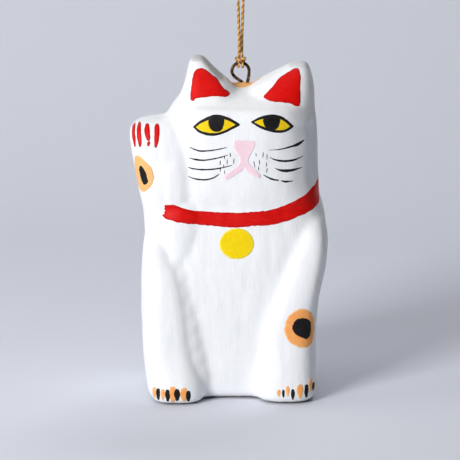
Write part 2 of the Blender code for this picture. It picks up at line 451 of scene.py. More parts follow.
@dataclass(frozen=True)
class WhiteGround:
    """Matt white acrylic, brushed on along the grain, grey-brown in streaks on the ear tops, and dark at the
    base rim: wood showing through, darkened further as a painted contact shadow.
    """

    white: Colour = tint("f8f9fb")
    shade: Colour = tint("ebedf1")
    # Grey-brown laid along given lines on the ear tops.
    streak_grey_brown: Colour = tint("766b60")
    # Dark brown of the base rim: wood showing through, and painted contact shade where the block meets the
    # floor.
    wood: Colour = tint("5a4a3c")

    def material(self) -> bpy.types.Material:
        """Builds the shader.

        Returns:
            The material, which reads the carving's attributes for the ear streaks and for the dark base rim,
            the painted contact shadow.
        """
        coat = Coat("white_ground")
        strokes = coat.grain((0.30, 0.30, 5.0), detail=3.0, roughness=0.6)
        bands = coat.grain((1.6, 1.6, 14.0))
        cloud = coat.grain((7.0, 7.0, 11.0))
        speck = coat.grain((0.45, 0.45, 0.6), detail=1.0).rise(0.70, 0.78)
        thin = (strokes * 0.55 + bands * 0.45).rise(0.40, 0.72)
        base = coat.mixed(self.white, self.shade, (thin * 0.55 + cloud.rise(0.5, 0.8) * 0.35))
        # Grey-brown streaks along given lines on the ear tops.
        grey_streak = coat.attribute("grey_streak") * (strokes + 0.45).rise(0.55, 1.05)
        grey_streaking = coat.mixed(base, self.streak_grey_brown, grey_streak + speck * grey_streak * 0.4)
        # Dark base rim: wood showing through, darkened as a painted contact shadow.
        bare_wood_and_contact_shade = coat.attribute("bare_wood_and_contact_shade") * (bands + strokes * 0.5).rise(0.45, 0.7)
        colour = coat.mixed(grey_streaking, self.wood, bare_wood_and_contact_shade)
        relief = strokes * 0.6 + bands * 0.5 + coat.grain((0.16, 0.16, 1.2)) * 0.25
        return coat.finish(
            base_color=colour,
            roughness=0.52 + thin * 0.16,
            specular_ior_level=0.3,
            normal=coat.bumped(relief, 0.07, 1.0),
        )


@dataclass(frozen=True)
class BrushedColour:
    """One acrylic colour in a thin film, with the strokes of the brush in it."""

    name: str
    body: Colour
    streak: Colour
    rim: Colour
    stroke_size: Point3 = (1.6, 1.2, 0.22)
    roughness: float = 0.36
    rim_width: float = 0.5

    def material(self) -> bpy.types.Material:
        """Builds the shader.

        Returns:
            The material, which reads each film's distance from its rim.
        """
        coat = Coat(self.name)
        strokes = coat.grain(self.stroke_size, detail=3.0, roughness=0.6)
        pool = coat.grain((1.1, 1.1, 1.1), detail=1.0)
        streaked = coat.mixed(self.body, self.streak, (strokes * 0.7 + pool * 0.3).rise(0.42, 0.68) * 0.75)
        edge = 1 - (coat.attribute("inside") + (pool - 0.5) * 0.4).rise(0.0, self.rim_width)
        return coat.finish(
            base_color=coat.mixed(streaked, self.rim, edge * 0.8),
            roughness=self.roughness + strokes * 0.18,
            specular_ior_level=0.16,
            normal=coat.bumped(strokes * 0.8 + pool * 0.4, 0.03, 0.8),
        )


def acrylic(name: str, body: str, streak: str, rim: str, **look: Any) -> BrushedColour:
    """A colour from its body's, its streaks' and its rim's screen colours."""
    return BrushedColour(f"{name}_acrylic", tint(body), tint(streak), tint(rim), **look)


RED = acrylic("red", "dc0c08", "ea160e", "b80705")
COLLAR_RED = acrylic("collar_red", "d40a06", "e8170e", "c00c08", stroke_size=(3.6, 3.6, 0.26))
YELLOW = acrylic("bell_yellow", "f9d600", "ffe21c", "f9e658", stroke_size=(0.5, 0.8, 1.0))
IRIS_YELLOW = acrylic("iris_yellow", "f6d10a", "fadc2c", "f6ecb0", rim_width=0.42)
ORANGE = acrylic("orange", "fbbd78", "fbb168", "f9c68e", stroke_size=(0.8, 0.8, 0.5))
DEEP_ORANGE = acrylic("deep_orange", "fdb068", "fb9a48", "fbc890", stroke_size=(0.8, 0.8, 0.5))
BLACK = acrylic("black", "141416", "232224", "242424", stroke_size=(0.5, 0.5, 0.3), roughness=0.42)
PINK = acrylic("pale_pink", "f9d6e1", "fbe3ea", "fbebf0", stroke_size=(0.3, 0.4, 1.4))


@dataclass(frozen=True)
class AgedBrass:
    """Bronzed brass wire, dark brown, with pale patches at random that are partly rubbed plating and partly
    painted highlights.
    """

    dark: Colour = tint("3f2f24")
    warm: Colour = tint("8a6a47")
    rubbed_plating_and_glint: Colour = tint("d8c4a4")

    def material(self) -> bpy.types.Material:
        """Builds the shader."""
        coat = Coat("aged_brass")
        patches = coat.grain((0.9, 0.9, 0.7), detail=3.0)
        drawn = coat.grain((0.08, 0.08, 0.9))
        colour = coat.mixed(self.dark, self.warm, patches.rise(0.42, 0.66))
        # Pale patches: rubbed plating and painted highlights.
        colour = coat.mixed(colour, self.rubbed_plating_and_glint, (patches * 0.6 + drawn * 0.4).rise(0.58, 0.72) * 0.7)
        return coat.finish(
            base_color=colour,
            metallic=0.92,
            roughness=0.24 + drawn * 0.2,
            normal=coat.bumped(drawn, 0.01, 0.6),
        )


@dataclass(frozen=True)
class GoldThread:
    """Metallised gold yarn, with pale painted glints on the foil and one brown ply that is painted shade for
    the gaps between plies.
    """

    gold: Colour = tint("eaa93c")
    # Pale for painted glints.
    pale: Colour = tint("fff0c4")
    # Brown for one ply and for dips in the foil: painted shade of the gaps between plies.
    brown: Colour = tint("5f300c")

    def material(self) -> bpy.types.Material:
        """Builds the shader.

        Returns:
            The material, which reads the ply number and the length along the cord.
        """
        coat = Coat("gold_thread")
        foil = coat.grain((0.10, 0.10, 0.14))
        patches = coat.grain((0.5, 0.5, 0.7))
        wrap = (coat.attribute("along") * (math.tau / (0.17 * MM))).sine() * 0.5 + 0.5
        # One ply goes brown as painted shade of the gaps between plies.
        gap_shade_ply = 1 - coat.attribute("ply").rise(0.1, 0.9)
        # Pale patches of foil are painted glints.
        colour = coat.mixed(self.gold, self.pale, (foil * 0.6 + patches * 0.4).rise(0.46, 0.66))
        # Brown over one ply and where the foil dips: painted gap shade.
        colour = coat.mixed(colour, self.brown, gap_shade_ply * 0.75 + (1 - foil).rise(0.56, 0.72) * 0.35)
        return coat.finish(
            base_color=colour,
            metallic=0.5,
            roughness=0.2 + foil * 0.2,
            normal=coat.bumped(wrap * 0.7 + foil * 0.6, 0.03, 0.7),
        )


@dataclass(frozen=True)
class StudioPaper:
    """Plain pale paper with a trace of tooth, which a camera behind it looks straight through."""

    colour: Colour = tint("e3e6ef")

    def material(self) -> bpy.types.Material:
        """Builds the shader."""
        coat = Coat("studio_paper")
        tooth = coat.grain((0.8, 0.8, 0.8))
        finished = coat.finish(base_color=self.colour, roughness=0.7 + tooth * 0.1, specular_ior_level=0.2)
        from_behind = coat.node("ShaderNodeNewGeometry", output="Backfacing")
        by_camera = coat.node("ShaderNodeLightPath", output="Is Camera Ray")
        paper = Value(coat, coat.shader.outputs["BSDF"])
        clear = coat.node("ShaderNodeBsdfTransparent")
        shown = coat.node("ShaderNodeMixShader", inputs={0: by_camera * from_behind, 1: paper, 2: clear})
        coat.feed(coat.tree.nodes["Material Output"].inputs["Surface"], shown)
        return finished


# ---- studio ------------------------------------------------------------------------------------------


@dataclass
class Studio:
    """Camera, pale paper sweep and soft lights."""

    elevation: float = 12.0
    distance: float = 550.0
    target: Point3 = (0.237, 0.0, 38.54)
    lens: float = 181.65
    sensor: float = 36.0
    sweep_start: float = 170.0
    sweep_radius: float = 240.0
    sweep_width: float = 1400.0
    sweep_front: float = -900.0
    sweep_top: float = 900.0
    sweep_steps: int = 24
    sky: Colour = (1.0, 1.0, 1.0)
    sky_strength: float = 0.03
    lamp_distance: float = 700.0
    # Name, azimuth, elevation, size and watts of each square soft box.
    lamps: tuple[tuple[str, float, float, float, float], ...] = (
        ("key_light", -38, 21, 230, 4.1),
        ("side_light", -85, 30, 330, 0.6),
        ("top_light", 0, 80, 500, 0.75),
        ("back_light", 160, 52, 300, 1.5),
    )

    def build(self) -> None:
        """Sets up everything that isn't the ornament."""
        self.camera()
        self.sweep()
        for name, azimuth, elevation, size, watts in self.lamps:
            data = bpy.data.lights.new(name, "AREA")
            data.shape, data.size, data.energy = "SQUARE", size * MM, watts
            self.aimed(linked(name, data), self.around(azimuth, elevation, self.lamp_distance))
        world = bpy.data.worlds.new("soft_room")
        bpy.context.scene.world = world
        world.use_nodes = True
        background = world.node_tree.nodes["Background"]
        background.inputs["Color"].default_value = (*self.sky, 1.0)
        background.inputs["Strength"].default_value = self.sky_strength
        bpy.context.scene.view_settings.view_transform = "Standard"

    def around(self, azimuth: float, elevation: float, distance: float) -> Vector:
        """A place round the target, in metres: azimuth 0 is in front of the cat and 90 at +X."""
        a, e = math.radians(azimuth), math.radians(elevation)
        back = Vector((math.sin(a) * math.cos(e), -math.cos(a) * math.cos(e), math.sin(e)))
        return (Vector(self.target) + back * distance) * MM

    def aimed(self, piece: bpy.types.Object, place: Vector) -> None:
        """Puts a camera or lamp at a place and turns it to the target."""
        piece.location = place
        piece.rotation_euler = (Vector(self.target) * MM - place).to_track_quat("-Z", "Y").to_euler()

    def camera(self) -> None:
        """The camera, in front of the cat and a little above it."""
        data = bpy.data.cameras.new("camera")
        data.lens, data.sensor_width = self.lens, self.sensor
        data.clip_start, data.clip_end = 0.01, 10.0
        camera = linked("camera", data)
        self.aimed(camera, self.around(0, self.elevation, self.distance))
        bpy.context.scene.camera = camera

    def sweep(self) -> None:
        """A floor that curves up into a wall behind the cat."""
        profile = [(self.sweep_front, 0.0)]
        for angle in np.linspace(0, math.pi / 2, self.sweep_steps + 1):
            level, rise = self.sweep_radius * math.sin(angle), self.sweep_radius * (1 - math.cos(angle))
            profile.append((self.sweep_start + level, rise))
        profile.append((self.sweep_start + self.sweep_radius, self.sweep_top))
        shape = bmesh.new()
        half = self.sweep_width / 2
        sides = [[shape.verts.new(Vector((x, y, z)) * MM) for y, z in profile] for x in (-half, half)]
        for i in range(len(profile) - 1):
            shape.faces.new((sides[0][i], sides[1][i], sides[1][i + 1], sides[0][i + 1]))
        mesh = meshed(shape, "paper_sweep")
        mesh.shade_smooth()
        mesh.materials.append(StudioPaper().material())
        linked("paper_sweep", mesh)


# ---- cord and screw eye ------------------------------------------------------------------------------


def twist_recipe() -> Recipe:
    """A cord of twisted plies along a path; one ply with no offset is a plain wire.

    Returns:
        The recipe, for a base object whose edges are the path.
    """
    lengths = dict.fromkeys(("Ply Radius", "Ply Offset", "Lay", "Step", "Unravel"), float)
    recipe = Recipe("twisted_plies", {"Plies": int, "Sides": int, **lengths, "Finish": bpy.types.Material})
    path = recipe.node("GeometryNodeMeshToCurve", inputs={"Mesh": recipe.input("Geometry")})
    even = recipe.node(
        "GeometryNodeResampleCurve", {"mode": "LENGTH"}, {"Curve": path, "Length": recipe.input("Step")}
    )
    copies = recipe.node(
        "GeometryNodeDuplicateElements",
        {"domain": "SPLINE"},
        {"Geometry": even, "Amount": recipe.input("Plies")},
    )
    index = Value(recipe, copies.socket.node.outputs["Duplicate Index"])
    along = recipe.node("GeometryNodeSplineParameter", output="Length")
    share = recipe.node("GeometryNodeSplineParameter", output="Factor")
    angle = along / recipe.input("Lay") * math.tau + index / recipe.input("Plies") * math.tau
    normal = recipe.node("GeometryNodeInputNormal")
    tangent = recipe.node("GeometryNodeInputTangent")
    sideways = recipe.vector("CROSS_PRODUCT", tangent, normal)
    direction = recipe.vector(
        "ADD", recipe.scaled(normal, angle.cosine()), recipe.scaled(sideways, angle.sine())
    )
    reach = recipe.input("Ply Offset") * (1 + share.rise(0.62, 1.0) * recipe.input("Unravel"))
    wound = recipe.node(
        "GeometryNodeSetPosition",
        inputs={
            "Geometry": recipe.stored(recipe.stored(copies, "ply", index), "along", along),
            "Offset": recipe.scaled(direction, reach),
        },
    )
    recipe.closed_with(recipe.swept(wound, recipe.input("Ply Radius"), recipe.input("Sides")))
    return recipe


def path_object(paths: Sequence[np.ndarray]) -> bpy.types.Object:
    """A scratch object of open edge paths, for a recipe to follow.

    Args:
        paths: Each path's points in millimetres.

    Returns:
        The object, in metres.
    """
    points, edges = [], []
    for path in paths:
        start = len(points)
        points += [tuple(float(c) * MM for c in point) for point in path]
        edges += [(i, i + 1) for i in range(start, len(points) - 1)]
    mesh = bpy.data.meshes.new("path")
    mesh.from_pydata(points, edges, [])
    return linked("path", mesh)


@dataclass
class ScrewEye:
    """A wire eye with its own wood thread, turned into the valley between the ears."""

    centre: Point3 = (2.7, 0.0, 76.5)
    ring_radius: float = 2.0
    wire_radius: float = 0.375
    shank_offset: float = 0.3
    shank_top: float = -2.7
    shank_length: float = 10.0
    core_radius: float = 0.42
    thread_start: float = 1.2
    thread_pitch: float = 0.8
    thread_turns: float = 9.0
    ridge_radius: float = 0.17
    point_length: float = 1.6
    shank_sides: int = 24
    bend_turns: Point2 = (-15.0, 180.0)
    bend_steps: int = 13
    leaving: tuple[Point2, ...] = ((0.2, -2.45), (-0.5, -2.0), (-1.4, -1.3))
    closing: tuple[Point2, ...] = ((1.97, -0.7), (1.86, -1.4), (1.72, -2.1), (1.6, -2.7))

    def ring_path(self) -> np.ndarray:
        """The wire's middle line: out of the shank, round the eye, and back beside the shank."""
        start = (self.shank_offset, self.shank_top)
        first, last = self.bend_turns
        shares = (step / self.bend_steps for step in range(self.bend_steps + 1))
        turns = [math.radians(first + (last - first) * share) for share in shares]
        bend = [(-self.ring_radius * math.cos(a), self.ring_radius * math.sin(a)) for a in turns]
        x, y, z = self.centre
        return smooth_through([(x + u, y, z + v) for u, v in (start, *self.leaving, *bend, *self.closing)], 6)

    def thread_recipe(self) -> Recipe:
        """Adds a helical ridge to the plain shank."""
        recipe = Recipe(
            "wood_thread", {"Pitch": float, "Turns": float, "Radius": float, "Finish": bpy.types.Material}
        )
        helix = recipe.node(
            "GeometryNodeCurveSpiral",
            inputs={
                "Resolution": 20,
                "Rotations": recipe.input("Turns"),
                "Start Radius": recipe.input("Radius") * 0.75,
                "End Radius": recipe.input("Radius"),
                "Height": recipe.input("Turns") * recipe.input("Pitch"),
            },
        )
        ridge = recipe.swept(helix, self.ridge_radius * MM, 4)
        x, y, z = self.centre
        foot = z + self.shank_top - self.thread_start - self.thread_turns * self.thread_pitch
        moved = recipe.node(
            "GeometryNodeTransform",
            inputs={"Geometry": ridge, "Translation": ((x + self.shank_offset) * MM, y * MM, foot * MM)},
        )
        joined = recipe.tree.nodes.new("GeometryNodeJoinGeometry")
        for part in (moved, recipe.input("Geometry")):
            recipe.feed(joined.inputs[0], part)
        recipe.closed_with(Value(recipe, joined.outputs[0]))
        return recipe

    def shank(self, finish: bpy.types.Material) -> bpy.types.Object:
        """The shank with its point and thread."""
        x, y, z = self.centre
        top = Vector((x + self.shank_offset, y, z + self.shank_top + 0.05))
        straight = self.shank_length - self.point_length
        profile = (
            (0.0, self.core_radius),
            (straight / 2, self.core_radius),
            (straight, self.core_radius),
            (straight + self.point_length * 0.6, self.core_radius * 0.55),
            (self.shank_length, 0.03),
        )
        shape = bmesh.new()
        sides = self.shank_sides
        angles = [math.tau * k / sides for k in range(sides)]
        turns = [Vector((math.cos(angle), math.sin(angle), 0)) for angle in angles]
        rings = [
            [shape.verts.new((top + radius * turn - Vector((0, 0, down))) * MM) for turn in turns]
            for down, radius in profile
        ]
        for upper, lower in zip(rings, rings[1:]):
            for k in range(sides):
                shape.faces.new((lower[k], lower[(k + 1) % sides], upper[(k + 1) % sides], upper[k]))
        shape.faces.new(rings[0])
        shape.faces.new(reversed(rings[-1]))
        mesh = meshed(shape, "shank")
        return self.thread_recipe().run(
            linked("shank", mesh),
            "shank",
            {
                "Pitch": self.thread_pitch * MM,
                "Turns": self.thread_turns,
                "Radius": self.core_radius * MM,
                "Finish": finish,
            },
        )

    def build(self, twist: Recipe) -> None:
        """Makes the wire and the threaded shank and joins them into one piece."""
        finish = AgedBrass().material()
        shank = self.shank(finish)
        wire = twist.run(
            path_object([self.ring_path()]),
            "wire_screw_eye",
            {
                "Plies": 1,
                "Ply Radius": self.wire_radius * MM,
                "Ply Offset": 0.0,
                "Lay": 1.0,
                "Step": 0.12 * MM,
                "Unravel": 0.0,
                "Sides": 20,
                "Finish": finish,
            },
        )
        whole = bmesh.new()
        whole.from_mesh(wire.data)
        whole.from_mesh(shank.data)
        whole.to_mesh(wire.data)
        whole.free()
        wire.data.set_sharp_from_angle(angle=math.radians(50))
        bpy.data.objects.remove(shank)
        placed(wire, Body.CAT, ["screw_eye"])


@dataclass
class HangingCord:
    """The gold cord: hitched round the eye, doubled, and knotted at its ends."""

    eye: ScrewEye
    diameter: float = 0.7
    plies: int = 3
    lay: float = 1.4
    step: float = 0.11
    pivot_rise: float = 2.85
    strand_route: tuple[Point3, ...] = (
        (0.32, 0.40, 0.25), (0.33, 0.38, 3.0), (0.45, 0.20, 7.0), (0.62, 0.00, 12.0), (1.05, 0.00, 18.0),
        (1.70, 0.00, 23.5), (2.00, 0.00, 27.0), (1.60, 0.00, 29.6), (0.85, 0.00, 31.2), (0.52, 0.00, 32.6),
    )  # fmt: skip
    knot_route: tuple[Point3, ...] = (
        (0.05, 0.32, 0.80), (0.45, 0.45, 1.55), (0.95, 0.00, 2.05), (0.55, -0.65, 2.00),
        (-0.25, -0.80, 1.45), (-0.95, -0.45, 0.95), (-0.90, 0.35, 0.75), (-0.20, 0.85, 0.95),
        (0.65, 0.70, 0.95), (0.95, -0.05, 0.95), (0.45, -0.55, 1.10), (-0.15, -0.25, 1.75),
        (-0.05, 0.05, 2.70),
    )  # fmt: skip
    knot_spread: Point2 = (0.27, 0.14)
    wrap_radius: float = 0.97
    wrap_span: Point2 = (0.37, 1.0)
    wrap_turns: Point2 = (40.0, 345.0)
    tail_length: float = 5.0

    def __post_init__(self) -> None:
        """Finds the ring's top and the cord's bending point."""
        x, y, z = self.eye.centre
        self.ring_top = Vector((x, y, z + self.eye.ring_radius))
        self.pivot = self.ring_top + Vector((0, 0, self.pivot_rise))

    def build(self, twist: Recipe) -> None:
        finish = GoldThread().material()
        hitch = self.wound(twist, [self.hitch_path()], "cord_hitch_turns", finish)
        placed(hitch, Body.HITCH, ["cord_hitch"])
        knot = self.end_knot(twist, finish)
        placed(knot, Body.LOOP, ["end_knot"])
        for name, side, on_it in (("strand_by_raised_paw", -1, [hitch, knot]), ("far_strand", 1, [])):
            route = self.strand_path(side)
            strand = self.wound(twist, [route], f"gold_{name}", finish)
            placed(strand, Body.LOOP, [name])

    def wound(
        self,
        twist: Recipe,
        paths: Sequence[np.ndarray],
        name: str,
        finish: bpy.types.Material,
        unravel: float = 0.0,
    ) -> bpy.types.Object:
        """Twisted cord along each path."""
        ply_radius = self.diameter / 2 / (1 + 1 / math.sin(math.pi / self.plies)) * 1.06
        return twist.run(
            path_object(paths),
            name,
            {
                "Plies": self.plies,
                "Ply Radius": ply_radius * MM,
                "Ply Offset": (self.diameter / 2 - ply_radius) * MM,
                "Lay": self.lay * MM,
                "Step": self.step * MM,
                "Unravel": unravel,
                "Sides": 8,
                "Finish": finish,
            },
        )

    def strand_path(self, side: int) -> np.ndarray:
        """One strand's middle line, from the hitch to the end knot."""
        route = [(side * x, side * y, z) for x, y, z in self.strand_route]
        return smooth_through(route, 12) + np.array(self.pivot)

    def hitch_path(self) -> np.ndarray:
        """A cow hitch: down in front of the wire, once round it, and across in a front bar."""
        inner, outer = self.wrap_span
        first, last = self.wrap_turns
        half = {}
        for side in (-1, 1):
            points = [(0.32 * side, 0.40 * side, 3.05), (0.33 * side, 0.20 * side - 0.05, 2.45)]
            points.append((0.36 * side, -0.22, 1.80))
            for share in np.linspace(0, 1, 9):
                turn = math.radians(first + (last - first) * share)
                along = side * (inner + (outer - inner) * share**2)
                points.append((along, -self.wrap_radius * math.sin(turn), self.wrap_radius * math.cos(turn)))
            points += [(1.02 * side, -0.68, 1.12), (0.86 * side, -1.2, 1.05), (0.42 * side, -1.42, 0.85)]
            half[side] = points
        return smooth_through([*half[-1], *reversed(half[1])], 8) + np.array(self.ring_top)

    def end_knot(self, twist: Recipe, finish: bpy.types.Material) -> bpy.types.Object:
        """An overhand knot tied in both ends at once, with their short tails."""
        foot = np.array((self.ring_top.x, self.ring_top.y, self.strand_path(1)[-1][2]))
        over, back = self.knot_spread
        ends = []
        for side in (-1, 1):
            knot = [(u + side * over, v + side * back, w) for u, v, w in self.knot_route]
            route = [(side * 0.5, 0.0, 0.0), *knot, (side * 0.25, 0.05, 3.4), (side * 0.65, side * 0.1, 4.6)]
            route.append((side * 1.05, side * 0.3, self.tail_length + 1.6))
            ends.append(smooth_through(route, 8) + foot)
        return self.wound(twist, ends, "cord_end_knot", finish, unravel=0.9)


# ---- the carving -------------------------------------------------------------------------------------


@dataclass
class CarvedCat:
    """The block itself: knife-cut, sanded and painted white."""

    grain_size: float = 0.45
    easing: int = 10
    plug_centre: Point3 = (3.0, 0.0, 67.2)
    plug_radius: float = 2.3
    plug_height: float = 12.0
    bed_centre: Point3 = (3.3, 0.0, 73.0)
    bed_radii: Point3 = (2.9, 2.6, 0.95)
    swellings: tuple[tuple[Point3, Point3], ...] = (
        ((-12.6, -8.0, 53.5), (7.0, 6.75, 14.0)),
        ((-11.0, -7.8, 41.5), (8.0, 6.85, 13.0)),
    )
    # A row of lumps that fills the crease between the leg and the belly.
    ridge: tuple[Point3, Point3] = ((-13.2, -8.4, 38.0), (-8.0, -8.2, 6.0))
    ridge_radii: Point3 = (4.6, 5.4, 6.0)
    ridge_lumps: int = 9
    cuts: int = 420
    cut_depth: Point2 = (0.03, 0.08)
    cut_reach: Point2 = (2.2, 6.0)
    reach_spread: Point2 = (0.6, 1.2)
    same_face: float = 0.6
    settling: int = 3
    # How far the surface swells, and over what size, from slow waves to brush marks.
    waves: tuple[tuple[float, Point3], ...] = (
        (0.16, (7.0, 7.0, 7.0)),
        (0.05, (1.5, 1.5, 5.0)),
        (0.02, (0.6, 0.6, 3.0)),
    )
    # From, to, width and strength of the grey-brown streaks along the ear tops, as seen from the front.
    grey_streaking: tuple[tuple[Point2, Point2, float, float], ...] = (
        ((-8.4, 80.2), (-6.0, 80.5), 0.65, 0.5),
        ((-6.0, 80.5), (-1.8, 76.3), 0.8, 0.62),
        ((14.5, 78.8), (18.2, 78.8), 0.6, 0.3),
    )
    # Where a grey-brown streak starts and is full: in widths from its line, and in depth.
    streak_fade: Point2 = (1.6, 0.6)
    streak_front: Point2 = (1.2, -0.8)
    # Heights at which the dark base rim, a painted contact shadow over showing wood, is none and full.
    contact_shade_rim: Point2 = (0.855, 0.405)
    base_lift: float = 1.0
    base_round: float = 2.4
    level_height: float = 0.12
    brow_push: float = 0.8
    brow_rise: Point2 = (60.0, 69.2)
    brow_edge: Point2 = (69.4, 70.2)
    brow_ends: tuple[Point2, Point2] = ((-12.0, -7.0), (14.0, 18.5))
    brow_front: float = -6.0
    cheek_turn: float = 1.7
    cheek_span: Point2 = (7.0, 18.5)
    cheek_ends: tuple[Point2, Point2] = ((47.0, 53.0), (68.0, 76.0))
    cheek_front: Point2 = (-2.0, -10.0)
    seed: int = 7

    def build(self) -> bpy.types.Object:
        """Makes the painted block and rides it on the cat's body.

        Returns:
            The block, for the colours to be laid on.
        """
        block = self.refined()
        mesh = block.data
        places, normals = spot_rows(mesh, "co") / MM, spot_rows(mesh, "normal")
        level = places[:, 2] < self.level_height
        self.knife(places, normals)
        self.uneven(places, normals)
        self.face_planes(places)
        places[level, 2] = 0.0
        self.round_foot(places, level)
        mesh.vertices.foreach_set("co", (places * MM).astype(np.float32).ravel())
        mesh.update()
        settle = block.modifiers.new("settle", "SMOOTH")
        settle.factor, settle.iterations = 0.5, self.settling
        block = evaluated_copy(block, "painted_block")
        self.ear_streaks_and_rim_shade(block.data)
        block.data.materials.clear()
        block.data.materials.append(WhiteGround().material())
        block.data.shade_smooth()
        return placed(block, Body.CAT, ["carved_body"])

    def refined(self) -> bpy.types.Object:
        """The frame's own block at a fine grain, with the wood closed round the eye's shank."""
        shape = bmesh.new()
        shape.from_mesh(bpy.data.objects["carved_body"].data)
        bmesh.ops.remove_doubles(shape, verts=shape.verts, dist=0.001 * MM)
        plug = bmesh.ops.create_cone(
            shape,
            cap_ends=True,
            segments=32,
            radius1=self.plug_radius * MM,
            radius2=self.plug_radius * MM,
            depth=self.plug_height * MM,
        )
        bmesh.ops.translate(shape, vec=Vector(self.plug_centre) * MM, verts=plug["verts"])
        top, foot = (np.array(end) for end in self.ridge)
        ridge = [(top + (foot - top) * t, self.ridge_radii) for t in np.linspace(0, 1, self.ridge_lumps)]
        for centre, radii in ((self.bed_centre, self.bed_radii), *self.swellings, *ridge):
            lump = bmesh.ops.create_uvsphere(shape, u_segments=32, v_segments=16, radius=1.0)
            bmesh.ops.scale(shape, vec=Vector(radii) * MM, verts=lump["verts"])
            bmesh.ops.translate(shape, vec=Vector(centre) * MM, verts=lump["verts"])
        block = linked("block", meshed(shape, "block"))
        fuse = block.modifiers.new("fuse", "REMESH")
        fuse.mode, fuse.voxel_size = "VOXEL", self.grain_size * MM
        ease = block.modifiers.new("ease", "SMOOTH")
        ease.factor, ease.iterations = 0.5, self.easing
        return evaluated_copy(block, "painted_block")

    def knife(self, places: np.ndarray, normals: np.ndarray) -> None:
        """Takes shallow hollows out of the surface, as a knife does.

        Args:
            places: The surface's points in millimetres, which are moved.
            normals: Their normals.
        """
        near = kdtree.KDTree(len(places))
        for i, place in enumerate(places):
            near.insert(place, i)
        near.balance()
        chance = random.Random(self.seed)
        for _ in range(self.cuts):
            pick = chance.randrange(len(places))
            across, upward = (reach * chance.uniform(*self.reach_spread) for reach in self.cut_reach)
            around = np.array([i for _, i, _ in near.find_range(places[pick], upward)])
            around = around[normals[around] @ normals[pick] > self.same_face]
            offset = places[around] - places[pick]
            sideways = np.hypot(offset[:, 0], offset[:, 1]) / across
            depth = chance.uniform(*self.cut_depth)
            hollow = depth * np.clip(1 - sideways**2 - (offset[:, 2] / upward) ** 2, 0, None)
            places[around] -= hollow[:, None] * normals[pick]

    def uneven(self, places: np.ndarray, normals: np.ndarray) -> None:
        """Swells the surface a little, as sanded wood and brushed paint are uneven."""
        swell = np.zeros(len(places))
        for amount, size in self.waves:
            swell += [amount * noise.noise(Vector(p)) for p in places / size]
        places += normals * swell[:, None]

    def face_planes(self, places: np.ndarray) -> None:
        """Brings the brow forward over the eyes, and turns the far cheek away."""
        across, depth, up = places.T
        (left_out, left_in), (right_in, right_out) = self.brow_ends
        brow = eased(up, *self.brow_rise) * (1 - eased(up, *self.brow_edge)) * (depth < self.brow_front)
        brow *= eased(across, left_out, left_in) * (1 - eased(across, right_in, right_out))
        places[:, 1] -= self.brow_push * brow
        cheek = ramp(across, *self.cheek_span) ** 2 * ramp(depth, *self.cheek_front)
        cheek *= eased(up, *self.cheek_ends[0]) * (1 - eased(up, *self.cheek_ends[1]))
        places[:, 1] += self.cheek_turn * cheek

    def round_foot(self, places: np.ndarray, level: np.ndarray) -> None:
        """Lifts the rim of the flat base into a rounded edge."""
        wall = places[~level & (places[:, 2] < self.base_round / 2)]
        rim = kdtree.KDTree(len(wall))
        for i, (x, y, _) in enumerate(wall):
            rim.insert((x, y, 0.0), i)
        rim.balance()
        low = np.flatnonzero(places[:, 2] < self.base_round)
        away = np.array([rim.find((x, y, 0.0))[2] for x, y, _ in places[low]])
        height = places[low, 2]
        lift = self.base_lift * ramp(away, self.base_round, 0) ** 2 * ramp(height, self.base_round, 0)
        places[low, 2] = np.maximum(height, 0.0) + lift

    def ear_streaks_and_rim_shade(self, mesh: bpy.types.Mesh) -> None:
        """Writes where the white turns grey-brown along the ear tops, and where the base rim goes dark: wood
        showing through, with painted contact shade.
        """
        places = spot_rows(mesh, "co") / MM
        grey_streak = np.zeros(len(places))
        seen = places[:, [0, 2]]
        for start, end, width, strength in self.grey_streaking:
            a, b = np.array(start), np.array(end)
            t = np.clip((seen - a) @ (b - a) / ((b - a) @ (b - a)), 0, 1)[:, None]
            away = np.linalg.norm(seen - (a + t * (b - a)), axis=1)
            grey_streak = np.maximum(grey_streak, strength * ramp(away / width, *self.streak_fade))
        # Grey-brown streaks, on the front of the ear tops only.
        note(mesh, "grey_streak", grey_streak * ramp(places[:, 1], *self.streak_front))
        # The dark base rim: painted contact shade over showing wood.
        note(mesh, "bare_wood_and_contact_shade", ramp(places[:, 2], *self.contact_shade_rim))


# ---- brushwork ---------------------------------------------------------------------------------------


def drape_recipe() -> Recipe:
    """Lays flat closed shapes on the block: each point runs along its aim until it meets the wood.

    Returns:
        The recipe, for a base object with aim and lift attributes.
    """
    recipe = Recipe("laid_on", {"Block": bpy.types.Object, "Finish": bpy.types.Material})
    target = recipe.node(
        "GeometryNodeObjectInfo", inputs={"Object": recipe.input("Block")}, output="Geometry"
    )
    hit = recipe.node(
        "GeometryNodeRaycast",
        inputs={
            "Target Geometry": target,
            "Ray Direction": recipe.named("aim", "FLOAT_VECTOR"),
            "Ray Length": 0.3,
        },
        output="Hit Position",
    )
    outward = Value(recipe, hit.socket.node.outputs["Hit Normal"])
    laid = recipe.vector("ADD", hit, recipe.scaled(outward, recipe.named("lift", "FLOAT")))
    recipe.closed_with(
        recipe.node(
            "GeometryNodeSetPosition",
            inputs={"Geometry": recipe.input("Geometry"), "Position": laid},
        )
    )
    return recipe


@dataclass(frozen=True)
class SideView:
    """Paints on what shows from one side: across and up are millimetres as seen from there."""

    azimuth: float = 0.0

    def rays(self, flat: np.ndarray) -> tuple[np.ndarray, np.ndarray]:
        """Start points and directions for flat points."""
        a = math.radians(self.azimuth)
        right, inward = np.array((math.cos(a), math.sin(a), 0)), np.array((-math.sin(a), math.cos(a), 0))
        starts = flat[:, :1] * right + flat[:, 1:] * np.array((0, 0, 1)) - 60 * inward
        return starts, np.tile(inward, (len(flat), 1))


